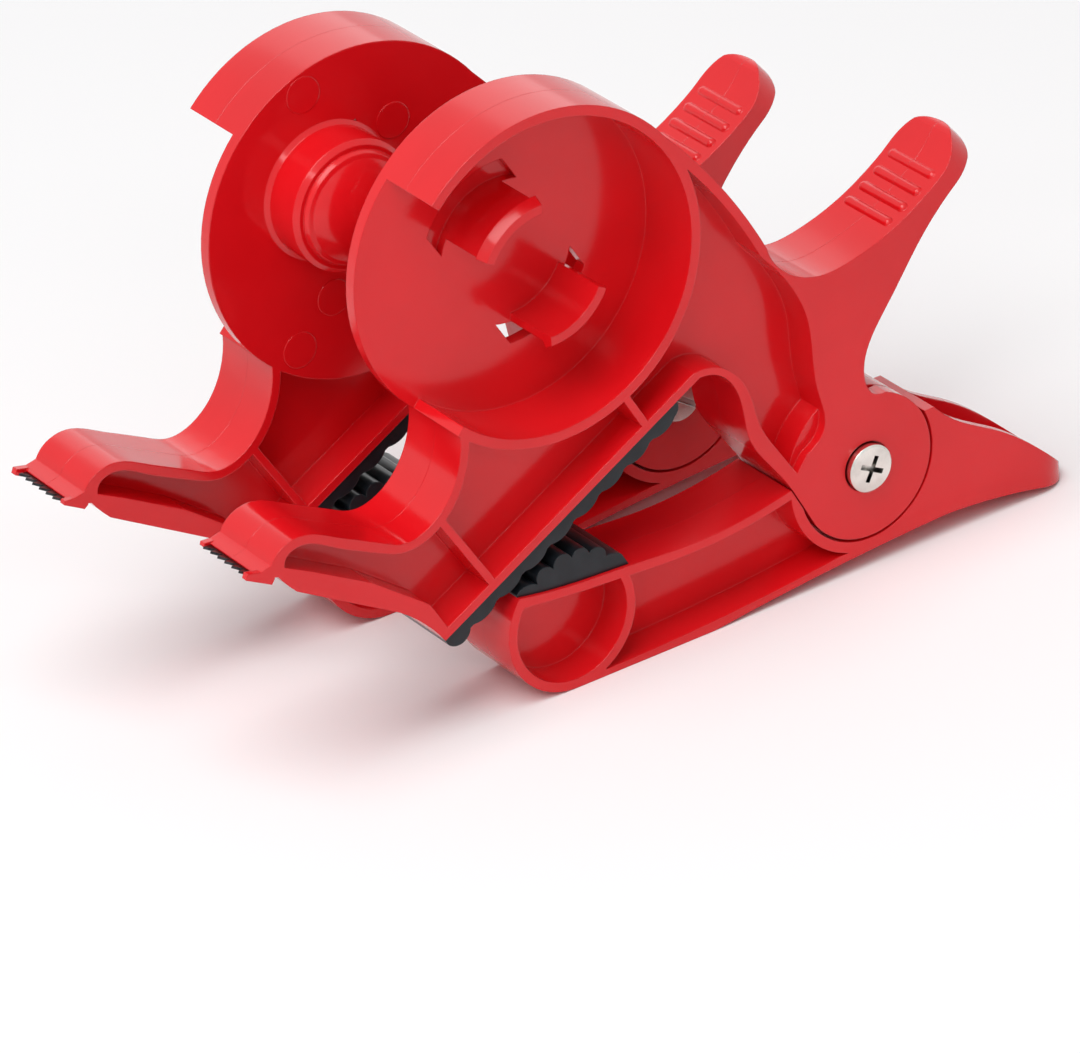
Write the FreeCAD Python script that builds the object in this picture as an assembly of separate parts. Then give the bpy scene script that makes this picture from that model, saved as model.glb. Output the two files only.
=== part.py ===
import FreeCAD, Part
import math
import os

from FreeCAD import Vector

# Gift wrap paper cutter: a mirrored pair of spring clamps
#
# Two clip-on clamps stand side by side and hold a roll of wrapping paper
# between them.  Each clamp is one moulded frame with a tape cup, a nose that
# carries a serrated blade and an upper handle, plus a lower jaw that swings
# on a screw and a sleeve nut against a coiled spring.  Rubber pads line both
# sides of the mouth.
#
# All lengths are in millimetres.  The clamp is drawn in its own frame: X runs
# from the nose (negative) to the handles, Y goes through its width from the
# outer face at 0 to the inner face at WIDTH, and Z is up from the table top.
# Points of an outline are written (x, z).

# Driving sizes
WIDTH = 14.5          # width of one clamp
SPAN = 24.8           # free space between the inner faces of the two clamps
FAR_SHIFT = -9.1      # how far the second clamp stands towards the nose side

CUP = (4.92, 71.91)   # centre of the tape cup
CUP_R = 28.0          # outside radius of the cup wall
CUP_WALL = 1.7        # thickness of the cup wall
PLATE = 2.2           # thickness of the cup's back plate
CUP_OPEN = (136.0, 228.0)   # the wall is missing between these angles

TAPE_CORE_R = 12.7    # radius of the bore of a one inch tape core
TAB_OUT = 12.1        # outside radius of the two tape tabs
TAB_WALL = 1.5        # thickness of a tab
TAB_BARB = 1.0        # how far the barb stands out of its tab
TAB_TOP = 1.2         # depth of the tab ends below the rim
TAB_SWEEP = 62.0      # width of one tab, in degrees
WINDOW_OUT = 15.8     # outer radius of the window behind each barb
WINDOW_HALF = 8.5     # half the width of a window between its straight ends

HUB_OFFSET = (-5.6, 5.6)    # roll hub centre measured from the cup centre
HUB_R = 11.0          # radius of the roll hub
HUB_LENGTH = 12.0     # how far the hub stands out of the plate
HUB_FOOT = 0.7        # sloped foot round the hub

FLANGE = 1.5          # flanges along the edges of the arms
WEB = 2.0             # web between the flanges
RIB = 1.3             # short ribs across the web

PIVOT = (61.17, 18.17)      # jaw hinge
EAR_R = 12.6          # outside radius of the frame's two ears
EAR = 3.2             # thickness of one ear
SIDE_GAP = 0.25       # gap between an ear and the knuckle
RIM_GAP = 0.5         # gap between round faces that turn inside each other
EAR_ROOF = 1.6        # the pocket stays this deep over the slot between the ears
EAR_WALL = 1.8        # wall of the jaw around the ears
SLEEVE_R = 3.0        # outside radius of the sleeve nut
RUN_FIT = 0.05        # running fit on the sleeve
SCREW_R = 2.0         # radius of the screw shank
THREAD_FIT = 0.03     # screw in its nut
HEAD_R = 4.1          # radius of the screw head and of the nut head
HEAD_FIT = 0.2        # gap round a head in its recess
HEAD_SINK = 0.6       # depth of the recess under a head
HEAD_T = 2.1          # thickness of the screw head
HEAD_EDGE = 0.35      # chamfer round both heads
NUT_HEAD_T = 1.5      # thickness of the nut head

WIRE_R = 0.6          # spring wire
COIL_R = 5.5          # mean radius of the spring
COIL_PITCH = 1.65     # rise of the wire in one turn
COIL_TURNS = 2.5      # turns of the spring
COIL_ROOM = 0.6       # free room round the spring
TANG = 1.3            # how deep the spring's bent ends reach into their holes
SPRING_START = 200.0  # where the wire of the spring starts, in degrees

PAD_A = (-19.9, 17.6)       # lower end of the straight pad seat of the frame
PAD_B = (30.7, 45.3)        # upper end of the pad seat
PAD_BASE = 2.45       # base of the upper pad
PAD_LOBE = 0.75       # height of its lobes above the base
PAD_PITCH = 5.8       # from one lobe to the next
PAD_SIDE = 0.7        # how far both pads stop short of the side faces

RING = (3.5, 12.0)    # centre of the ring at the front of the jaw
RING_R = 12.0         # outside radius of the ring
RING_WALL = 1.6       # wall of the ring
HANDLE_WALL = 1.8     # side walls of the lower handle
RIDGE_R = 0.95        # radius of the grip ridges on the upper handle

BLADE_T = 0.4         # blade thickness
BLADE_END = 1.2       # end walls that hold the blade
BLADE_FIT = 0.05      # gap between the blade and each end wall
BLADE_SEAT = ((-49.7, 40.2), (-52.0, 41.3))     # seat of the blade, rear to front
TEETH = 6             # teeth of the blade
TOOTH = 2.0           # length of a tooth

MID = WIDTH / 2.0
WEB_LOW = MID - WEB / 2.0
WEB_HIGH = MID + WEB / 2.0
KNUCKLE_LOW = EAR + SIDE_GAP
KNUCKLE_HIGH = WIDTH - EAR - SIDE_GAP
PLATE_Y = WIDTH - PLATE
RECESS_R = EAR_R + RIM_GAP
EAR_WALL_R = RECESS_R + EAR_WALL


def at(point, y=0.0):
    return Vector(point[0], y, point[1])


def polar(centre, radius, degrees):
    angle = math.radians(degrees)
    return (centre[0] + radius * math.cos(angle), centre[1] + radius * math.sin(angle))


def along(a, b, distance, aside=0.0):
    """Point at a distance from a towards b, moved aside to the right of that way."""
    length = math.hypot(b[0] - a[0], b[1] - a[1])
    ux = (b[0] - a[0]) / length
    uz = (b[1] - a[1]) / length
    return (a[0] + ux * distance + uz * aside, a[1] + uz * distance - ux * aside)


def outline(start, *steps):
    """Closed face from (x, z) points.

    A step is a point for a straight edge, ("arc", through, end) for an arc,
    or ("curve", p1, p2, ...) for a smooth curve through the points.
    """
    edges = []
    here = start
    for step in steps:
        if step[0] == "arc":
            edges.append(Part.Arc(at(here), at(step[1]), at(step[2])).toShape())
            here = step[2]
        elif step[0] == "curve":
            curve = Part.BSplineCurve()
            curve.interpolate([at(here)] + [at(p) for p in step[1:]])
            edges.append(curve.toShape())
            here = step[-1]
        else:
            edges.append(Part.makeLine(at(here), at(step)))
            here = step
    if math.hypot(here[0] - start[0], here[1] - start[1]) > 1e-6:
        edges.append(Part.makeLine(at(here), at(start)))
    return Part.Face(Part.Wire(edges))


def slab(face, y0, y1):
    """Solid of an outline between two depths across the width."""
    moved = face.copy()
    moved.translate(Vector(0, y0, 0))
    return moved.extrude(Vector(0, y1 - y0, 0))


def disc(centre, radius, y0, y1):
    return Part.makeCylinder(radius, y1 - y0, at(centre, y0), Vector(0, 1, 0))


def tube(centre, outer, inner, y0, y1):
    return disc(centre, outer, y0, y1).cut(disc(centre, inner, y0 - 1.0, y1 + 1.0))


def sector(centre, inner, outer, a0, a1, y0, y1):
    """Part of a ring from angle a0 to angle a1, anticlockwise seen from outside."""
    mid = (a0 + a1) / 2.0
    face = outline(
        polar(centre, inner, a0),
        polar(centre, outer, a0),
        ("arc", polar(centre, outer, mid), polar(centre, outer, a1)),
        polar(centre, inner, a1),
        ("arc", polar(centre, inner, mid), polar(centre, inner, a0)),
    )
    return slab(face, y0, y1)


def turned(centre, points, y_start, way):
    """Round body about a Y axis from (radius, depth) points or arc steps."""
    def put(p):
        return (centre[0] + p[0], y_start + way * p[1])
    edges = []
    here = points[0]
    for step in points[1:]:
        if step[0] == "arc":
            a, b, c = put(here), put(step[1]), put(step[2])
            edges.append(Part.Arc(Vector(a[0], a[1], centre[1]), Vector(b[0], b[1], centre[1]),
                                  Vector(c[0], c[1], centre[1])).toShape())
            here = step[2]
        else:
            a, b = put(here), put(step)
            edges.append(Part.makeLine(Vector(a[0], a[1], centre[1]),
                                       Vector(b[0], b[1], centre[1])))
            here = step
    a, b = put(here), put(points[0])
    edges.append(Part.makeLine(Vector(a[0], a[1], centre[1]), Vector(b[0], b[1], centre[1])))
    face = Part.Face(Part.Wire(edges))
    return face.revolve(at(centre), Vector(0, 1, 0), 360)


def bar(a, b, width, inside):
    """Straight rib of a given width from a to b as an outline."""
    half = width / 2.0
    return outline(along(a, b, -inside, half), along(b, a, -inside, -half),
                   along(b, a, -inside, half), along(a, b, -inside, -half))


# The moulded frame
#
# The frame is cut from one full-width body: its side outline is the cup, the
# nose arm, the arch over the back of the mouth and the handle.  Pockets from
# both sides leave flanges along every edge and a thin web in the middle.

ARCH_TOP = (46.7, 19.1)     # where the arch meets the jaw at the side
ARCH_FOOT = polar(PIVOT, EAR_R, 213.5)


def arm_outline():
    pivot_low = polar(PIVOT, EAR_R, 270.0)
    pivot_right = polar(PIVOT, EAR_R, 68.0)
    return outline(
        (-6.0, 58.0),
        polar(CUP, CUP_R, CUP_OPEN[1]),
        ("curve", (-15.2, 44.6), (-19.6, 38.9), (-25.7, 37.0), (-30.0, 38.8), (-37.8, 42.8),
         (-43.9, 45.2), (-47.6, 44.2), (-49.4, 42.2)),
        (-50.2, 42.0),
        (-52.0, 41.6),
        BLADE_SEAT[1],
        BLADE_SEAT[0],
        (-48.4, 39.9),
        ("curve", (-47.0, 38.0), (-45.4, 36.2)),
        (-27.6, 25.6),
        ("curve", (-24.0, 22.6), PAD_A),
        PAD_B,
        ("curve", (35.9, 43.0), (38.0, 38.6), (39.2, 31.1), (42.6, 25.3), ARCH_TOP),
        ARCH_FOOT,
        ("arc", pivot_low, pivot_right),
        ("curve", (62.9, 30.9), (61.8, 34.8), (67.6, 45.7), (74.1, 54.1), (80.4, 60.4),
         (85.4, 64.0)),
        ("curve", (86.6, 66.3), (85.6, 68.3), (83.0, 68.3)),
        ("curve", (78.5, 63.4), (75.3, 61.2), (70.5, 58.5), (60.4, 55.1), (55.3, 54.6),
         (48.6, 57.2), (44.9, 63.0)),
        ("curve", (37.3, 76.2), polar(CUP, CUP_R, 36.0)),
        (16.0, 78.0),
    )


def web_pocket():
    """Outline of the big pocket of the nose arm and the back of the cup."""
    return outline(
        (-9.0, 55.0),
        (-12.3, 50.6),
        ("curve", (-13.8, 44.0), (-18.7, 37.6), (-25.8, 35.5), (-30.6, 37.3), (-38.4, 41.3),
         (-44.0, 43.6), (-46.4, 42.8), (-47.1, 41.0)),
        (-42.2, 38.4),
        (-32.1, 32.6),
        (-22.1, 24.9),
        (-19.3, 19.7),
        along(PAD_A, PAD_B, 57.3, -FLANGE),
        ("curve", (36.0, 44.7), (39.8, 39.2), (41.3, 33.0), (43.8, 28.1), (47.7, 21.8)),
        (49.8, 24.4),
        ("curve", (53.7, 28.8), (52.7, 35.0), (51.7, 47.9), (48.8, 55.1), (44.8, 60.6)),
        (43.5, 62.3),
        ("curve", (36.0, 75.3), polar(CUP, CUP_R - 2.0, 36.0)),
        (10.0, 70.0),
    )


def frame_body():
    body = disc(CUP, CUP_R, 0.0, WIDTH).fuse(slab(arm_outline(), 0.0, WIDTH))
    body = body.removeSplitter()

    pocket = web_pocket()
    ribs = [((-18.1, 37.4), (-10.5, 24.4)), ((17.2, 46.0), (19.9, 41.0))]
    for y0, y1 in ((-1.0, WEB_LOW), (WEB_HIGH, WIDTH + 1.0)):
        hollow = slab(pocket, y0, y1)
        hollow = hollow.cut(disc(CUP, CUP_R, -2.0, WIDTH + 2.0))
        hollow = hollow.cut(disc(PIVOT, RECESS_R + FLANGE, EAR_ROOF, WIDTH - EAR_ROOF))
        for a, b in ribs:
            hollow = hollow.cut(slab(bar(a, b, RIB, 3.0), -2.0, WIDTH + 2.0))
        body = body.cut(hollow)

    body = body.cut(disc(CUP, CUP_R - CUP_WALL, -1.0, PLATE_Y))
    body = body.cut(sector(CUP, CUP_R - CUP_WALL - 1.0, CUP_R + 1.0, CUP_OPEN[0],
                           CUP_OPEN[1] - 1.4, -1.0, PLATE_Y))
    return body


def tape_tabs(body):
    """Two sprung tabs with barbs that snap into the bore of a tape core."""
    for middle in (120.0, 300.0):
        a0 = middle - TAB_SWEEP / 2.0
        a1 = middle + TAB_SWEEP / 2.0
        ring = tube(CUP, WINDOW_OUT, TAB_OUT, PLATE_Y - 1.0, WIDTH + 1.0)
        slot = Part.makeBox(WINDOW_OUT + 1.0, WIDTH, 2.0 * WINDOW_HALF,
                            Vector(0.0, 2.0, -WINDOW_HALF))
        slot.rotate(Vector(0, 0, 0), Vector(0, 1, 0), -middle)
        slot.translate(at(CUP))
        body = body.cut(ring.common(slot))
        tab = sector(CUP, TAB_OUT - TAB_WALL, TAB_OUT, a0, a1, TAB_TOP, PLATE_Y + 0.5)
        barb_face = Part.Face(Part.makePolygon([
            Vector(CUP[0] + TAB_OUT - 0.3, TAB_TOP, CUP[1]),
            Vector(CUP[0] + TAB_OUT, TAB_TOP, CUP[1]),
            Vector(CUP[0] + TAB_OUT + TAB_BARB, TAB_TOP + 1.7, CUP[1]),
            Vector(CUP[0] + TAB_OUT, TAB_TOP + 2.5, CUP[1]),
            Vector(CUP[0] + TAB_OUT - 0.3, TAB_TOP + 2.5, CUP[1]),
            Vector(CUP[0] + TAB_OUT - 0.3, TAB_TOP, CUP[1]),
        ]))
        barb_face.rotate(at(CUP), Vector(0, 1, 0), -a0)
        barb = barb_face.revolve(at(CUP), Vector(0, 1, 0), -TAB_SWEEP)
        body = body.fuse(tab).fuse(barb)
    return body


def roll_hub(body):
    """Round boss that carries the end of the paper roll."""
    centre = (CUP[0] + HUB_OFFSET[0], CUP[1] + HUB_OFFSET[1])
    collar = HUB_LENGTH * 0.66
    nose_r = HUB_R - 1.5
    cap_r = 14.0
    flat = nose_r - 1.0
    drop = cap_r - math.sqrt(cap_r ** 2 - flat ** 2)
    top = HUB_LENGTH - drop
    middle = flat * 0.5
    hub = turned(centre, [
        (0.0, -0.6),
        (HUB_R + HUB_FOOT, -0.6),
        (HUB_R + HUB_FOOT, 0.0),
        (HUB_R, HUB_FOOT),
        (HUB_R, collar - 0.8),
        (HUB_R - 0.8, collar),
        (nose_r, collar),
        (nose_r, top - 1.0),
        (nose_r - 0.3, top - 0.3),
        (flat, top),
        ("arc", (middle, HUB_LENGTH - cap_r + math.sqrt(cap_r ** 2 - middle ** 2)),
         (0.0, HUB_LENGTH)),
    ], WIDTH, 1.0)
    return body.fuse(hub)


def nose_walls(body):
    """End walls that stand under the nose and hold the blade between them."""
    outer = outline((-49.0, 40.4), (-49.0, 39.8), (-49.6, 39.0), (-54.0, 41.4),
                    (-53.6, 42.3), (-51.4, 41.8))
    inner = outline((-49.0, 40.4), (-49.0, 39.8), (-49.7, 39.3), (-53.2, 41.3),
                    (-53.0, 41.9), (-51.4, 41.8))
    body = body.fuse(slab(outer, 0.0, BLADE_END))
    return body.fuse(slab(inner, WIDTH - BLADE_END, WIDTH))


def hinge_ears(body):
    """Slot between the ears for the knuckle, bore, recesses and spring hole."""
    body = body.cut(disc(PIVOT, RECESS_R, EAR, WIDTH - EAR))
    body = body.cut(disc(PIVOT, SLEEVE_R + RUN_FIT, -1.0, WIDTH + 1.0))
    body = body.cut(disc(PIVOT, HEAD_R + HEAD_FIT, -1.0, HEAD_SINK))
    body = body.cut(disc(PIVOT, HEAD_R + HEAD_FIT, WIDTH - HEAD_SINK, WIDTH + 1.0))
    end = polar(PIVOT, COIL_R, SPRING_START)
    return body.cut(disc(end, WIRE_R + 0.1, EAR - TANG - 0.2, EAR + 0.1))


def upper_handle(body):
    """Round the end of the handle in plan and raise five grip ridges."""
    way = math.radians(38.5)
    block = Part.makeBox(30.0, WIDTH + 2.0, 40.0, Vector(-MID, -1.0, -20.0))
    round_end = Part.makeBox(40.0, WIDTH, 40.0, Vector(-40.0, 0.0, -20.0))
    round_end = round_end.fuse(Part.makeCylinder(MID, 40.0, Vector(0.0, MID, -20.0)))
    block = block.cut(round_end)
    place = FreeCAD.Placement(Vector(79.8, 0.0, 63.6),
                              FreeCAD.Rotation(Vector(0, 1, 0), -math.degrees(way)))
    block.Placement = place
    body = body.cut(block)
    for top in ((81.3, 65.5), (78.4, 63.6), (75.4, 61.7), (72.4, 60.0), (69.4, 58.4)):
        spot = (top[0] + 0.35, top[1] - RIDGE_R + 0.35)
        inset = 3.2 if top[0] > 80.0 else 2.2
        body = body.fuse(disc(spot, RIDGE_R, inset, WIDTH - inset))
        for y in (inset, WIDTH - inset):
            body = body.fuse(Part.makeSphere(RIDGE_R, at(spot, y)))
    return body


def frame():
    body = frame_body()
    body = tape_tabs(body)
    body = roll_hub(body)
    body = nose_walls(body)
    body = upper_handle(body)
    body = hinge_ears(body)
    return body.removeSplitter()


# The lower jaw with its handle

def jaw_top():
    return [(5.4, 18.1), (14.8, 17.6), (28.4, 16.9), (36.2, 17.4), (42.1, 18.3), (47.2, 19.4)]


def lower_jaw():
    lip = polar(RING, RING_R, 141.0)
    side = outline(
        lip,
        ("curve", *jaw_top()),
        polar(PIVOT, EAR_WALL_R - 0.4, 150.0),
        (61.0, 24.0),
        polar(PIVOT, EAR_WALL_R, 22.0),
        ("curve", (80.8, 18.7), (87.6, 14.7), (93.4, 10.3), (98.8, 5.2), (101.6, 2.4)),
        ("arc", (102.3, 0.6), (100.8, 0.0)),
        ("arc", (89.0, 2.5), (76.0, 3.7)),
        ("arc", (54.0, 2.4), (30.0, RING[1] - RING_R)),
        (RING[0], RING[1] - RING_R),
        ("arc", polar(RING, RING_R, 200.0), lip),
    )
    body = slab(side, 0.0, WIDTH)

    flange_low = [(p[0], p[1] - FLANGE) for p in jaw_top()]
    pocket = outline(
        (13.0, 16.1),
        ("curve", *flange_low[2:]),
        (54.0, 16.0),
        (58.0, 4.0),
        (54.4, 3.9),
        ("curve", (30.0, 1.75), (9.0, 1.1)),
    )
    hole = outline(
        (-14.0, 18.4),
        ("curve", (-4.0, 17.5), (5.4, 16.6), (18.0, 16.0)),
        (20.0, -2.0),
        (-14.0, -2.0),
    )
    for y0, y1 in ((-1.0, WEB_LOW), (WEB_HIGH, WIDTH + 1.0)):
        hollow = slab(pocket, y0, y1)
        hollow = hollow.cut(disc(RING, RING_R, -2.0, WIDTH + 2.0))
        hollow = hollow.cut(disc(PIVOT, EAR_WALL_R, -2.0, WIDTH + 2.0))
        body = body.cut(hollow)
        eye = disc(RING, RING_R - RING_WALL, y0, y1).common(slab(hole, -2.0, WIDTH + 2.0))
        body = body.cut(eye)

    body = body.cut(handle_channel())
    body = round_handle(body)
    body = jaw_knuckle(body)
    return body.removeSplitter()


def handle_channel():
    """Trough of the lower handle, open upwards and closed at its round tip."""
    side = outline(
        (66.0, 4.9),
        ("curve", (75.0, 5.3), (87.0, 4.5), (95.5, 2.4), (99.6, 1.9)),
        (99.6, 40.0),
        (66.0, 40.0),
    )
    cut = slab(side, HANDLE_WALL, WIDTH - HANDLE_WALL)
    inner = MID - HANDLE_WALL
    plan = Part.makeBox(99.9 - inner - 60.0, 2.0 * inner, 60.0,
                        Vector(60.0, HANDLE_WALL, -10.0))
    plan = plan.fuse(Part.makeCylinder(inner, 60.0, Vector(99.9 - inner, MID, -10.0)))
    cut = cut.common(plan)
    return cut.cut(disc(PIVOT, EAR_WALL_R, -1.0, WIDTH + 1.0))


def round_handle(body):
    """Round the free end of the lower handle in plan."""
    tip = 102.6
    corner = Part.makeBox(20.0, WIDTH + 2.0, 60.0, Vector(tip - MID, -1.0, -10.0))
    keep = Part.makeCylinder(MID, 60.0, Vector(tip - MID, MID, -10.0))
    return body.cut(corner.cut(keep))


def jaw_knuckle(body):
    """Knuckle between the ears with a pocket for the spring around its core."""
    room = COIL_R - WIRE_R - COIL_ROOM
    arch_side = outline(along(ARCH_TOP, ARCH_FOOT, -24.0, SIDE_GAP),
                        along(ARCH_TOP, ARCH_FOOT, 9.0, SIDE_GAP),
                        PIVOT, (PIVOT[0], 60.0))
    body = body.cut(slab(arch_side, -1.0, WIDTH + 1.0))
    body = body.cut(disc(PIVOT, RECESS_R, -1.0, WIDTH + 1.0))
    body = body.fuse(disc(PIVOT, EAR_R, KNUCKLE_LOW, KNUCKLE_HIGH))
    body = body.fuse(sector(PIVOT, EAR_R - 1.0, RECESS_R + 0.5, 222.0, 352.0,
                            KNUCKLE_LOW, KNUCKLE_HIGH))
    body = body.cut(disc(PIVOT, SLEEVE_R + RUN_FIT, -1.0, WIDTH + 1.0))
    depth = COIL_PITCH * COIL_TURNS + 2.0 * WIRE_R + 0.3
    body = body.cut(tube(PIVOT, COIL_R + WIRE_R + COIL_ROOM, room,
                         KNUCKLE_LOW - 0.1, KNUCKLE_LOW + depth))
    end = polar(PIVOT, COIL_R, SPRING_START + 360.0 * COIL_TURNS)
    return body.cut(disc(end, WIRE_R + 0.1, KNUCKLE_LOW + depth - 0.2,
                         KNUCKLE_LOW + depth + TANG + 0.2))


# Rubber pads

def upper_pad():
    """Pad under the frame's pad seat, with flat lobes across it."""
    top = PAD_BASE + PAD_LOBE
    first = 4.9
    lobes = 8
    steps = []
    for i in range(lobes):
        s0 = first + i * PAD_PITCH
        steps.append(along(PAD_A, PAD_B, s0 + PAD_PITCH * 0.07, PAD_BASE))
        steps.append(("arc", along(PAD_A, PAD_B, s0 + PAD_PITCH * 0.5, top),
                      along(PAD_A, PAD_B, s0 + PAD_PITCH * 0.93, PAD_BASE)))
    end = first + lobes * PAD_PITCH
    face = outline(
        along(PAD_A, PAD_B, 0.1, 0.0),
        along(PAD_A, PAD_B, 0.1, PAD_BASE * 0.7),
        ("arc", along(PAD_A, PAD_B, 1.3, top), along(PAD_A, PAD_B, first - 0.4, PAD_BASE)),
        *steps,
        ("arc", along(PAD_A, PAD_B, end + 0.9, PAD_BASE * 0.7),
         along(PAD_A, PAD_B, end + 1.3, 0.0)),
    )
    return slab(face, PAD_SIDE, WIDTH - PAD_SIDE)


def lower_pad():
    """Wedge on the jaw whose ridged back faces the upper pad."""
    ridges = [(9.6, 8.3, 7.6, 8.55), (6.1, 10.7, 4.5, 10.1), (2.95, 11.7, 1.3, 10.5),
              (-0.25, 11.85, -2.2, 9.8), (-3.7, 10.8, -5.35, 8.35), (-7.3, 8.9, -9.4, 7.9)]
    steps = []
    for top_x, top_z, end_x, end_z in ridges:
        steps.append(("arc", (RING[0] + top_x, RING[1] + top_z), (RING[0] + end_x, RING[1] + end_z)))
    face = outline(
        (RING[0] + RING_R - 0.7, RING[1] - 2.0),
        (RING[0] + RING_R - 0.2, RING[1] + 5.4),
        (RING[0] + 10.6, RING[1] + 7.7),
        *steps,
        (RING[0] - RING_R + 2.9, RING[1] - 2.0),
    )
    body = slab(face, PAD_SIDE, WIDTH - PAD_SIDE)
    under = outline(
        (-14.0, 21.0),
        (polar(RING, RING_R, 141.0)),
        ("curve", *jaw_top()),
        (47.2, 0.0),
        (-14.0, 0.0),
    )
    return body.cut(slab(under, -1.0, WIDTH + 1.0))


# Metal pieces

def cutter_blade():
    """Serrated strip under the nose, teeth towards the cup side."""
    rear, front = BLADE_SEAT
    length = math.hypot(front[0] - rear[0], front[1] - rear[1])
    ux = (front[0] - rear[0]) / length
    uz = (front[1] - rear[1]) / length
    y0 = BLADE_END + BLADE_FIT
    y1 = WIDTH - BLADE_END - BLADE_FIT
    pitch = (y1 - y0) / TEETH
    flat = [(0.15, y0), (length, y0)]
    for i in range(TEETH):
        flat.append((length + TOOTH, y0 + (i + 0.5) * pitch))
        if i < TEETH - 1:
            flat.append((length + 0.25, y0 + (i + 1.0) * pitch))
    flat += [(length, y1), (0.15, y1)]
    points = [Vector(rear[0] + ux * s, y, rear[1] + uz * s) for s, y in flat]
    face = Part.Face(Part.makePolygon(points + [points[0]]))
    return face.extrude(Vector(-uz * BLADE_T, 0, ux * BLADE_T))


def pivot_screw():
    """Pan head screw with a cross recess, its shank inside the sleeve nut."""
    top = HEAD_SINK
    head = turned(PIVOT, [
        (0.0, 0.0),
        (HEAD_R, 0.0),
        (HEAD_R, HEAD_T - HEAD_EDGE),
        (HEAD_R - HEAD_EDGE, HEAD_T - 0.1),
        (0.0, HEAD_T),
    ], top, -1.0)
    shank = disc(PIVOT, SCREW_R, top - 0.2, WIDTH - 4.0)
    body = head.fuse(shank)
    for turn in (28.0, 118.0):
        wing = Part.makeBox(4.6, 1.4, 0.85, Vector(-2.3, 0.0, -0.425))
        wing.rotate(Vector(0, 0, 0), Vector(0, 1, 0), turn)
        wing.translate(at(PIVOT, top - HEAD_T - 0.1))
        body = body.cut(wing)
    return body.removeSplitter()


def sleeve_nut():
    """Flanged sleeve that the jaw turns on; it is tapped for the screw."""
    top = WIDTH - HEAD_SINK
    head = turned(PIVOT, [
        (0.0, 0.0),
        (HEAD_R, 0.0),
        (HEAD_R, NUT_HEAD_T - HEAD_EDGE),
        (HEAD_R - HEAD_EDGE, NUT_HEAD_T),
        (0.0, NUT_HEAD_T),
    ], top, 1.0)
    body = head.fuse(disc(PIVOT, SLEEVE_R, HEAD_SINK + 0.4, top + 0.2))
    body = body.cut(disc(PIVOT, SCREW_R + THREAD_FIT, 0.0, top - 1.8))
    slot = Part.makeBox(HEAD_R * 2.4, 2.0, 1.0, Vector(-HEAD_R * 1.2, 0.0, -0.5))
    slot.rotate(Vector(0, 0, 0), Vector(0, 1, 0), 35.0)
    slot.translate(at(PIVOT, top + NUT_HEAD_T - 0.7))
    return body.cut(slot).removeSplitter()


def torsion_spring():
    """Coiled spring round the knuckle's core with both ends bent along the axis."""
    y0 = KNUCKLE_LOW + WIRE_R + 0.1
    rise = COIL_PITCH * COIL_TURNS
    steps = int(COIL_TURNS * 4)
    points = []
    for i in range(2 * steps + 1):
        share = i / (2.0 * steps)
        spot = polar(PIVOT, COIL_R, SPRING_START + 360.0 * COIL_TURNS * share)
        points.append(at(spot, y0 + rise * share))
    edges = []
    for i in range(steps):
        edges.append(Part.Arc(*points[2 * i:2 * i + 3]).toShape())
    first = points[0]
    last = points[-1]
    ring = Part.Wire(Part.makeCircle(WIRE_R, first, edges[0].tangentAt(edges[0].FirstParameter)))
    coil = Part.Wire(edges).makePipeShell([ring], True)
    depth = COIL_PITCH * COIL_TURNS + 2.0 * WIRE_R + 0.3
    body = coil.fuse(Part.makeSphere(WIRE_R, first)).fuse(Part.makeSphere(WIRE_R, last))
    low = EAR - TANG
    high = KNUCKLE_LOW + depth + TANG
    body = body.fuse(Part.makeCylinder(WIRE_R, first.y - low, Vector(first.x, low, first.z),
                                       Vector(0, 1, 0)))
    body = body.fuse(Part.makeCylinder(WIRE_R, high - last.y, last, Vector(0, 1, 0)))
    return body


# Both clamps
#
# The second clamp is the first one mirrored, set SPAN away across the roll
# and a little towards the nose side.

SUBPARTS = [
    ("clamp_frame", frame),
    ("lower_jaw", lower_jaw),
    ("upper_pad", upper_pad),
    ("lower_pad", lower_pad),
    ("cutter_blade", cutter_blade),
    ("pivot_screw", pivot_screw),
    ("sleeve_nut", sleeve_nut),
    ("torsion_spring", torsion_spring),
]


def main():
    os.makedirs("parts", exist_ok=True)
    near = {}
    far = {}
    mirror_y = WIDTH + SPAN / 2.0
    for name, make in SUBPARTS:
        shape = make()
        if not shape.isValid():
            print("invalid", name)
        if len(shape.Solids) != 1:
            print("solids", name, len(shape.Solids))
        near[name] = shape.Solids[0]
        other = shape.Solids[0].mirror(Vector(0, mirror_y, 0), Vector(0, 1, 0))
        other.translate(Vector(FAR_SHIFT, 0, 0))
        far[name] = other
    box = None
    for shape in list(near.values()) + list(far.values()):
        b = shape.BoundBox
        box = b if box is None else box.united(b)
    shift = Vector(-box.Center.x, -box.Center.y, -box.ZMin)
    for side, group in (("near", near), ("far", far)):
        for name, shape in group.items():
            shape.translate(shift)
            shape.exportStep("parts/" + side + "_" + name + ".step")
            print(side, name, round(shape.Volume, 1), shape.isValid())
    print("box", round(box.XLength, 3), round(box.YLength, 3), round(box.ZLength, 3))
    print("shift", round(shift.x, 4), round(shift.y, 4), round(shift.z, 4))
    print("near pivot", round(PIVOT[0] + shift.x, 4), round(MID + shift.y, 4),
          round(PIVOT[1] + shift.z, 4))
    print("far pivot", round(PIVOT[0] + FAR_SHIFT + shift.x, 4),
          round(2.0 * mirror_y - MID + shift.y, 4), round(PIVOT[1] + shift.z, 4))
    hub = (CUP[0] + HUB_OFFSET[0] + shift.x, CUP[1] + HUB_OFFSET[1] + shift.z)
    print("near hub", round(hub[0], 4), round(WIDTH + shift.y, 4), round(hub[1], 4))


main()
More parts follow.
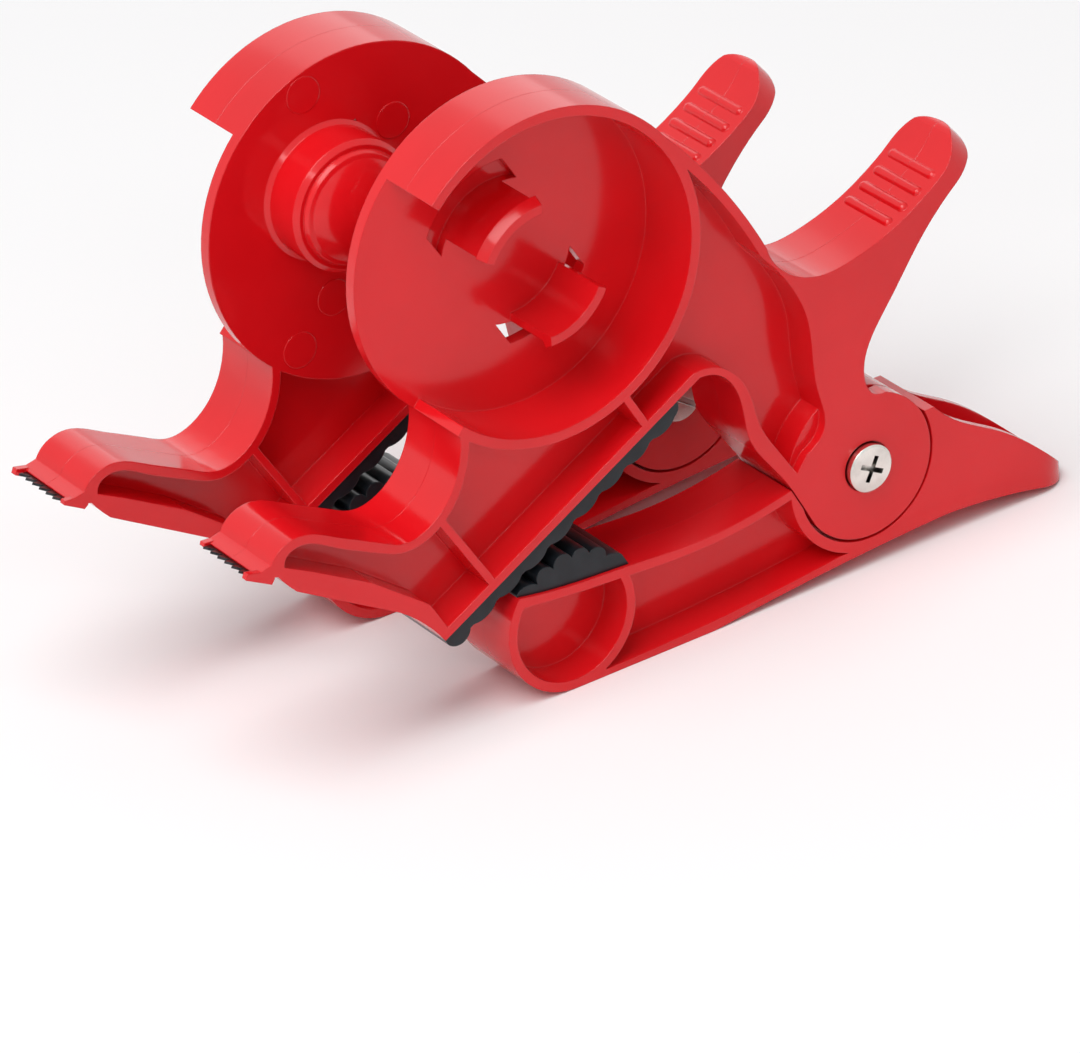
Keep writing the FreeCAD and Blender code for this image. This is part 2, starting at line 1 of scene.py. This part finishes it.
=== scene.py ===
# %% [markdown]
# Gift wrap paper cutter: the looks.
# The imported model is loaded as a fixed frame.  Its solids keep their shape and
# get materials here; small moulding details are added as pieces of their own.

# %% Frame
import math

import bpy
import numpy as np
from mathutils import Matrix, Vector


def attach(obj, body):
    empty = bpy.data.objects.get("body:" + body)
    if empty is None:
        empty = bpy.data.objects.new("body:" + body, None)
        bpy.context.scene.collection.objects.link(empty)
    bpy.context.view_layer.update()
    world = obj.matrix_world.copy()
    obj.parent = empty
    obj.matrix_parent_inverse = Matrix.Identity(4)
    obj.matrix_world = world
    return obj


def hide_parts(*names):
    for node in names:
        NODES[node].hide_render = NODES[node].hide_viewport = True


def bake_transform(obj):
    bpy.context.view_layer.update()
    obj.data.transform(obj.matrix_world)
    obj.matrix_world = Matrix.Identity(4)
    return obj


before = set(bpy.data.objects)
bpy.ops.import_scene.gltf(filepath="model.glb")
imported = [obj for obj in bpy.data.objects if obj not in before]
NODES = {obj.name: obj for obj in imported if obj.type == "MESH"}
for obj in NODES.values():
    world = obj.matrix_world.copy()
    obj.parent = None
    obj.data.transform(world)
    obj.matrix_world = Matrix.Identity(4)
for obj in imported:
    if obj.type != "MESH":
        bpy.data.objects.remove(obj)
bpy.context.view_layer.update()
SIDES = ("near", "far")

# %% [markdown]
# The clamp is drawn in millimetres in its own frame, with the outer face at
# y = 0, the inner face at y = 14.5 and the table top at z = 0.  `place` turns
# such a point of either clamp into the row's frame in metres.

# %% Places on the clamps
SHIFT = np.array([-19.6769, -26.9, 0.0622])
WIDTH = 14.5
FAR_X = -9.1
FAR_Y = 53.8
CUP = (4.92, 71.91)


def place(points, side="near"):
    """Clamp millimetres (x, y, z) to row metres for the near or the far clamp."""
    p = np.array(points, float).reshape(-1, 3)
    if side == "far":
        p = np.stack([p[:, 0] + FAR_X, FAR_Y - p[:, 1], p[:, 2]], 1)
    return (p + SHIFT) / 1000.0


# %% [markdown]
# The camera stands high on the left of the noses, far away behind a long lens,
# as in the photograph.  Its numbers were solved from points of the object.
# `CLAMP_FROM_CAMERA` is the near clamp's origin in the camera's own axes, in mm.

# %% Camera
AZIMUTH = math.radians(-32.076)
ELEVATION = math.radians(29.084)
ROLL = math.radians(-4.967)
CLAMP_FROM_CAMERA = np.array([3.13, -26.41, 1253.8])
FOCAL_PIXELS = 8000.0
PHOTO_WIDTH = 1080.0
SENSOR_WIDTH = 36.0


def add_camera():
    right = np.array([math.cos(AZIMUTH), math.sin(AZIMUTH), 0.0])
    forward = np.array([-math.sin(AZIMUTH) * math.cos(ELEVATION),
                        math.cos(AZIMUTH) * math.cos(ELEVATION),
                        -math.sin(ELEVATION)])
    up = np.cross(right, forward)
    turned_right = math.cos(ROLL) * right + math.sin(ROLL) * up
    turned_up = -math.sin(ROLL) * right + math.cos(ROLL) * up
    rows = np.stack([turned_right, turned_up, forward])
    spot = (-rows.T @ CLAMP_FROM_CAMERA + SHIFT) / 1000.0
    cam = bpy.data.cameras.new("camera")
    cam.sensor_width = SENSOR_WIDTH
    cam.lens = FOCAL_PIXELS / PHOTO_WIDTH * SENSOR_WIDTH
    cam.clip_start = 0.05
    cam.clip_end = 20.0
    obj = bpy.data.objects.new("camera", cam)
    bpy.context.scene.collection.objects.link(obj)
    matrix = Matrix.Identity(4)
    for i in range(3):
        matrix[i][0] = turned_right[i]
        matrix[i][1] = turned_up[i]
        matrix[i][2] = -forward[i]
        matrix[i][3] = spot[i]
    obj.matrix_world = matrix
    bpy.context.scene.camera = obj


add_camera()

# %% [markdown]
# Node materials.  Each one is built from the same few steps, so small helper
# functions make a node, do a sum and set values by name.


# %% Material helpers
def new_material(name):
    mat = bpy.data.materials.new(name)
    mat.use_nodes = True
    tree = mat.node_tree
    tree.nodes.clear()
    out = tree.nodes.new("ShaderNodeOutputMaterial")
    bsdf = tree.nodes.new("ShaderNodeBsdfPrincipled")
    tree.links.new(bsdf.outputs["BSDF"], out.inputs["Surface"])
    return mat, tree, bsdf


def set_inputs(node, values):
    for key, value in values.items():
        node.inputs[key].default_value = value


def add(tree, kind, **values):
    """New node; each value goes to the input of that name, or else to the attribute."""
    node = tree.nodes.new(kind)
    for key, value in values.items():
        if key in node.inputs:
            node.inputs[key].default_value = value
        else:
            setattr(node, key, value)
    return node


def calc(tree, operation, a, b=None):
    """Math node on one or two operands, each a number or a socket."""
    node = tree.nodes.new("ShaderNodeMath")
    node.operation = operation
    for slot, value in ((0, a), (1, b)):
        if value is None:
            continue
        if isinstance(value, (int, float)):
            node.inputs[slot].default_value = value
        else:
            tree.links.new(value, node.inputs[slot])
    return node.outputs[0]


def ramp(tree, fac, stops):
    node = tree.nodes.new("ShaderNodeValToRGB")
    tree.links.new(fac, node.inputs["Fac"])
    band = node.color_ramp
    while len(band.elements) < len(stops):
        band.elements.new(0.5)
    for element, (pos, colour) in zip(band.elements, stops):
        element.position = pos
        element.color = (*colour, 1.0)
    return node.outputs["Color"]


def surface_group():
    """Node group: rounded edges plus a fine moulded unevenness as a normal."""
    group = bpy.data.node_groups.new("moulded_surface", "ShaderNodeTree")
    for name, default in (("Edge", 0.0003), ("Wave Size", 60.0), ("Wave Height", 0.00002),
                          ("Grain Size", 2500.0), ("Grain Height", 0.000001)):
        socket = group.interface.new_socket(name, in_out="INPUT", socket_type="NodeSocketFloat")
        socket.default_value = default
    group.interface.new_socket("Normal", in_out="OUTPUT", socket_type="NodeSocketVector")
    inp = group.nodes.new("NodeGroupInput")
    out = group.nodes.new("NodeGroupOutput")
    coord = group.nodes.new("ShaderNodeTexCoord")
    bevel = group.nodes.new("ShaderNodeBevel")
    bevel.samples = 6
    link = group.links.new
    link(inp.outputs["Edge"], bevel.inputs["Radius"])
    normal = bevel.outputs["Normal"]
    for kind, roughness in (("Wave", 0.5), ("Grain", 0.6)):
        noise = add(group, "ShaderNodeTexNoise", Detail=2.0, Roughness=roughness)
        bump = add(group, "ShaderNodeBump", Strength=1.0)
        link(coord.outputs["Object"], noise.inputs["Vector"])
        link(inp.outputs[f"{kind} Size"], noise.inputs["Scale"])
        link(inp.outputs[f"{kind} Height"], bump.inputs["Distance"])
        link(noise.outputs["Fac"], bump.inputs["Height"])
        link(normal, bump.inputs["Normal"])
        normal = bump.outputs["Normal"]
    link(normal, out.inputs["Normal"])
    return group


SURFACE = surface_group()


def with_surface(tree, bsdf, **values):
    node = tree.nodes.new("ShaderNodeGroup")
    node.node_tree = SURFACE
    for key, value in values.items():
        node.inputs[key.replace("_", " ")].default_value = value
    tree.links.new(node.outputs["Normal"], bsdf.inputs["Normal"])
    return node


def mottled(name, scale, detail, dark, light, light_from=0.7, stretch=None):
    """Material whose base colour drifts between two shades with a noise.

    Returns the material, its tree and shader, and the sockets of the object
    coordinates, the noise and the colour.
    """
    mat, tree, bsdf = new_material(name)
    coord = tree.nodes.new("ShaderNodeTexCoord").outputs["Object"]
    noise = add(tree, "ShaderNodeTexNoise", Scale=scale, Detail=detail)
    vector = coord
    if stretch:
        mapping = tree.nodes.new("ShaderNodeMapping")
        mapping.inputs["Scale"].default_value = stretch
        tree.links.new(coord, mapping.inputs["Vector"])
        vector = mapping.outputs["Vector"]
    tree.links.new(vector, noise.inputs["Vector"])
    colour = ramp(tree, noise.outputs["Fac"], [(0.3, dark), (light_from, light)])
    tree.links.new(colour, bsdf.inputs["Base Color"])
    return mat, tree, bsdf, coord, noise.outputs["Fac"], colour


# %% [markdown]
# Both halves of the mould meet at mid width, which leaves a fine raised line on
# the outside of the red pieces.  The line is a bump in the material.  With d the
# distance from mid width, its height is 1 - d / `LINE_REACH`, but not below 0,
# and it is 0 inside the tape cup, within `CUP_CLEAR` of the cup's axis.


# %% Parting line
MID_Y = -(WIDTH / 2.0 + float(SHIFT[1])) / 1000.0
LINE_REACH = 0.00007
CUP_CLEAR = 0.0273


def parting_line(tree, coord):
    split = tree.nodes.new("ShaderNodeSeparateXYZ")
    tree.links.new(coord, split.inputs[0])
    x, y, z = split.outputs[0], split.outputs[1], split.outputs[2]
    off = calc(tree, "ABSOLUTE", calc(tree, "SUBTRACT", calc(tree, "ABSOLUTE", y), MID_Y))
    line = calc(tree, "SUBTRACT", 1.0, calc(tree, "DIVIDE", off, LINE_REACH))
    line = calc(tree, "MAXIMUM", line, 0.0)
    is_far = calc(tree, "GREATER_THAN", y, 0.0)
    cup_x = calc(tree, "ADD", float(CUP[0] + SHIFT[0]) / 1000.0,
                 calc(tree, "MULTIPLY", is_far, FAR_X / 1000.0))
    dx = calc(tree, "SUBTRACT", x, cup_x)
    dz = calc(tree, "SUBTRACT", z, float(CUP[1] + SHIFT[2]) / 1000.0)
    away = calc(tree, "SQRT", calc(tree, "ADD", calc(tree, "MULTIPLY", dx, dx),
                                   calc(tree, "MULTIPLY", dz, dz)))
    return calc(tree, "MULTIPLY", line, calc(tree, "GREATER_THAN", away, CUP_CLEAR))


# %% [markdown]
# Five finishes: glossy red plastic with faint flow marks, black rubber,
# nickel-plated steel with painted shade that darkens its recesses, the dark
# steel of the blade and the drawn wire of the springs.


# %% Materials
def red_plastic():
    mat, tree, bsdf, coord, noise, _ = mottled(
        "red_plastic", 45.0, 3.0, (0.65, 0.0060, 0.010), (0.72, 0.0080, 0.013))
    rough = tree.nodes.new("ShaderNodeMapRange")
    set_inputs(rough, {"To Min": 0.12, "To Max": 0.18})
    tree.links.new(noise, rough.inputs["Value"])
    tree.links.new(rough.outputs["Result"], bsdf.inputs["Roughness"])
    set_inputs(bsdf, {"IOR": 1.52, "Specular IOR Level": 0.36,
                      "Coat Weight": 0.06, "Coat Roughness": 0.06})
    surface = with_surface(tree, bsdf, Edge=0.00030, Wave_Size=55.0, Wave_Height=0.00004)
    seam = tree.nodes.new("ShaderNodeBump")
    seam.inputs["Distance"].default_value = 0.00004
    tree.links.new(parting_line(tree, coord), seam.inputs["Height"])
    tree.links.new(surface.outputs["Normal"], seam.inputs["Normal"])
    tree.links.new(seam.outputs["Normal"], bsdf.inputs["Normal"])
    return mat


def black_rubber():
    mat, tree, bsdf, *_ = mottled(
        "black_rubber", 300.0, 4.0, (0.007, 0.009, 0.012), (0.015, 0.019, 0.024), 0.75)
    set_inputs(bsdf, {"Roughness": 0.29, "Specular IOR Level": 0.32})
    with_surface(tree, bsdf, Edge=0.0003, Wave_Size=200.0, Wave_Height=0.00002,
                 Grain_Size=4000.0, Grain_Height=0.00001)
    return mat


def nickel():
    mat, tree, bsdf, _, _, colour = mottled(
        "nickel_steel", 400.0, 4.0, (0.62, 0.59, 0.55), (0.80, 0.77, 0.72))
    # Painted shade: ambient occlusion darkens the base colour in recesses such as the screw's
    # cross slot.
    shade_occlusion = add(tree, "ShaderNodeAmbientOcclusion", Distance=0.0012, samples=8)
    shade = ramp(tree, shade_occlusion.outputs["AO"], [(0.25, (0.05, 0.05, 0.05)), (0.85, (1.0, 1.0, 1.0))])
    mix = add(tree, "ShaderNodeMix", data_type="RGBA", blend_type="MULTIPLY", Factor=1.0)
    tree.links.new(colour, mix.inputs["A"])
    tree.links.new(shade, mix.inputs["B"])
    tree.links.new(mix.outputs["Result"], bsdf.inputs["Base Color"])
    set_inputs(bsdf, {"Metallic": 1.0, "Roughness": 0.2})
    with_surface(tree, bsdf, Edge=0.00015, Wave_Size=300.0, Wave_Height=0.00002)
    return mat


def blade_steel():
    mat, tree, bsdf, *_ = mottled(
        "blade_steel", 250.0, 4.0, (0.030, 0.031, 0.034), (0.075, 0.077, 0.080),
        stretch=(1.0, 14.0, 1.0))
    set_inputs(bsdf, {"Metallic": 1.0, "Roughness": 0.35})
    with_surface(tree, bsdf, Edge=0.00005, Wave_Size=300.0, Wave_Height=0.00001)
    return mat


def spring_steel():
    mat, tree, bsdf, *_ = mottled(
        "spring_steel", 600.0, 3.0, (0.30, 0.30, 0.31), (0.45, 0.45, 0.46))
    set_inputs(bsdf, {"Metallic": 1.0, "Roughness": 0.3})
    with_surface(tree, bsdf, Edge=0.00005)
    return mat


RED = red_plastic()
RUBBER = black_rubber()
NICKEL = nickel()
FINISH = {
    "clamp_frame": RED,
    "lower_jaw": RED,
    "upper_pad": RUBBER,
    "lower_pad": RUBBER,
    "cutter_blade": blade_steel(),
    "pivot_screw": NICKEL,
    "sleeve_nut": NICKEL,
    "torsion_spring": spring_steel(),
}
for name, obj in NODES.items():
    obj.data.materials.clear()
    obj.data.materials.append(FINISH[name.split("_", 1)[1]])


# %% [markdown]
# The spring winds up as the jaw opens.  A copy of its solid, with its placement
# baked in and no body as parent, stands in for it; the imported spring is hidden.

for side in SIDES:
    node = NODES[f"{side}_torsion_spring"]
    spring = node.copy()
    spring.data = node.data.copy()
    spring.name = f"{side}_wound_spring"
    bpy.context.scene.collection.objects.link(spring)
    spring.parent = None
    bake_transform(spring)
    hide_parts(f"{side}_torsion_spring")


# %% [markdown]
# The pins that push the frame out of its mould leave round marks on the inner
# side of the plate and of the webs: very low discs with a rounded edge, sunk a
# hair into the face.


# %% Ejector marks
MARKS = [(-3.35, 94.9), (12.3, 85.2), (-1.4, 59.0), (-8.5, 52.2)]
MARK_RADIUS = 3.1
MARK_HEIGHT = 0.09
MARK_SINK = 0.01
MARK_SIDES = 48
RIM_STEPS = 5


def low_disc(name, x, z, side):
    """Low disc on the inner face, with its centre at (x, z).

    With R the radius, H the height and t from 0 to 90 degrees, the rim has the
    profile r = R - H + H sin t, h = H cos t.
    """
    base = WIDTH - MARK_SINK
    rim = [(MARK_RADIUS - MARK_HEIGHT + MARK_HEIGHT * math.sin(t), MARK_HEIGHT * math.cos(t))
           for t in np.linspace(0.0, math.pi / 2.0, RIM_STEPS)]
    points = [(x, base + MARK_HEIGHT, z)]
    for r, h in rim:
        for i in range(MARK_SIDES):
            a = 2.0 * math.pi * i / MARK_SIDES
            points.append((x + r * math.cos(a), base + h, z + r * math.sin(a)))
    points.append((x, base, z))
    last_ring = 1 + (RIM_STEPS - 1) * MARK_SIDES
    faces = []
    for i in range(MARK_SIDES):
        j = (i + 1) % MARK_SIDES
        faces.append((0, 1 + i, 1 + j))
        for k in range(RIM_STEPS - 1):
            a, b = 1 + k * MARK_SIDES, 1 + (k + 1) * MARK_SIDES
            faces.append((a + i, b + i, b + j, a + j))
        faces.append((len(points) - 1, last_ring + j, last_ring + i))
    if side == "near":
        faces = [face[::-1] for face in faces]
    mesh = bpy.data.meshes.new(name)
    mesh.from_pydata([tuple(p) for p in place(points, side)], [], faces)
    mesh.polygons.foreach_set("use_smooth", [len(face) == 4 for face in faces])
    mesh.materials.append(RED)
    obj = bpy.data.objects.new(name, mesh)
    bpy.context.scene.collection.objects.link(obj)
    return obj


for side in SIDES:
    for i, (x, z) in enumerate(MARKS):
        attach(low_disc(f"{side}_ejector_mark_{i + 1}", x, z, side), f"{side}_clamp")


# %% [markdown]
# A pale sweep of floor and soft studio light: a big box above, a weak strip on
# the nose side, and a card behind that shows in the gloss only.  Away from the
# object the floor turns into the same pale tone as the world, both for the
# camera and in reflections.

# %% Floor and light
PALE = (0.93, 0.93, 0.935, 1.0)
FLOOR_REACH = 6.0
FLOOR_FADES = (0.35, 1.1)


def seen_plainly(tree):
    """1 for camera, mirror and glass rays, which see the background, and 0 for light."""
    path = tree.nodes.new("ShaderNodeLightPath")
    seen = calc(tree, "ADD", path.outputs["Is Camera Ray"], path.outputs["Is Glossy Ray"])
    return calc(tree, "MINIMUM", calc(tree, "ADD", seen, path.outputs["Is Transmission Ray"]), 1.0)


def add_floor():
    mesh = bpy.data.meshes.new("floor")
    r = FLOOR_REACH
    mesh.from_pydata([(-r, -r, 0), (r, -r, 0), (r, r, 0), (-r, r, 0)], [], [(0, 1, 2, 3)])
    obj = bpy.data.objects.new("floor", mesh)
    bpy.context.scene.collection.objects.link(obj)
    mat, tree, bsdf = new_material("floor_paper")
    set_inputs(bsdf, {"Base Color": (0.95, 0.945, 0.95, 1.0), "Roughness": 0.9,
                      "Specular IOR Level": 0.1})
    coord = tree.nodes.new("ShaderNodeTexCoord")
    length = add(tree, "ShaderNodeVectorMath", operation="LENGTH")
    tree.links.new(coord.outputs["Object"], length.inputs[0])
    far_off = add(tree, "ShaderNodeMapRange", interpolation_type="SMOOTHSTEP")
    tree.links.new(length.outputs["Value"], far_off.inputs["Value"])
    set_inputs(far_off, {"From Min": FLOOR_FADES[0], "From Max": FLOOR_FADES[1]})
    glow = add(tree, "ShaderNodeEmission", Color=PALE)
    mix = tree.nodes.new("ShaderNodeMixShader")
    tree.links.new(calc(tree, "MULTIPLY", far_off.outputs["Result"], seen_plainly(tree)),
                   mix.inputs["Fac"])
    tree.links.new(bsdf.outputs["BSDF"], mix.inputs[1])
    tree.links.new(glow.outputs["Emission"], mix.inputs[2])
    tree.links.new(mix.outputs["Shader"], tree.nodes["Material Output"].inputs["Surface"])
    mesh.materials.append(mat)


def area_light(name, spot, target_z, size, power):
    light = bpy.data.lights.new(name, "AREA")
    light.shape = "RECTANGLE"
    light.size = size[0]
    light.size_y = size[1]
    light.energy = power
    obj = bpy.data.objects.new(name, light)
    bpy.context.scene.collection.objects.link(obj)
    obj.location = spot
    way = Vector((0.0, 0.0, target_z)) - Vector(spot)
    obj.rotation_euler = way.to_track_quat("-Z", "Y").to_euler()
    return obj


def add_world():
    """World lighter near the horizon, and plainly pale where it is seen."""
    world = bpy.data.worlds.new("studio")
    bpy.context.scene.world = world
    world.use_nodes = True
    tree = world.node_tree
    coord = tree.nodes.new("ShaderNodeTexCoord")
    split = tree.nodes.new("ShaderNodeSeparateXYZ")
    tree.links.new(coord.outputs["Generated"], split.inputs[0])
    sky = ramp(tree, split.outputs[2], [(0.12, (0.66, 0.66, 0.67)), (0.42, (0.31, 0.31, 0.31))])
    mix = add(tree, "ShaderNodeMix", data_type="RGBA")
    tree.links.new(seen_plainly(tree), mix.inputs["Factor"])
    tree.links.new(sky, mix.inputs["A"])
    mix.inputs["B"].default_value = PALE
    tree.links.new(mix.outputs["Result"], tree.nodes["Background"].inputs["Color"])


add_floor()
add_world()
area_light("key_box", (-0.9, -0.4, 2.2), 0.03, (1.8, 1.8), 49.0)
area_light("front_strip", (-0.55, -0.62, 0.70), 0.05, (0.95, 0.07), 1.4)
back_card = area_light("back_card", (0.32, 0.88, 0.50), 0.05, (0.90, 0.52), 1.2)
back_card.visible_diffuse = False
bpy.context.scene.view_settings.view_transform = "Standard"

# %% Finish
bpy.context.view_layer.update()
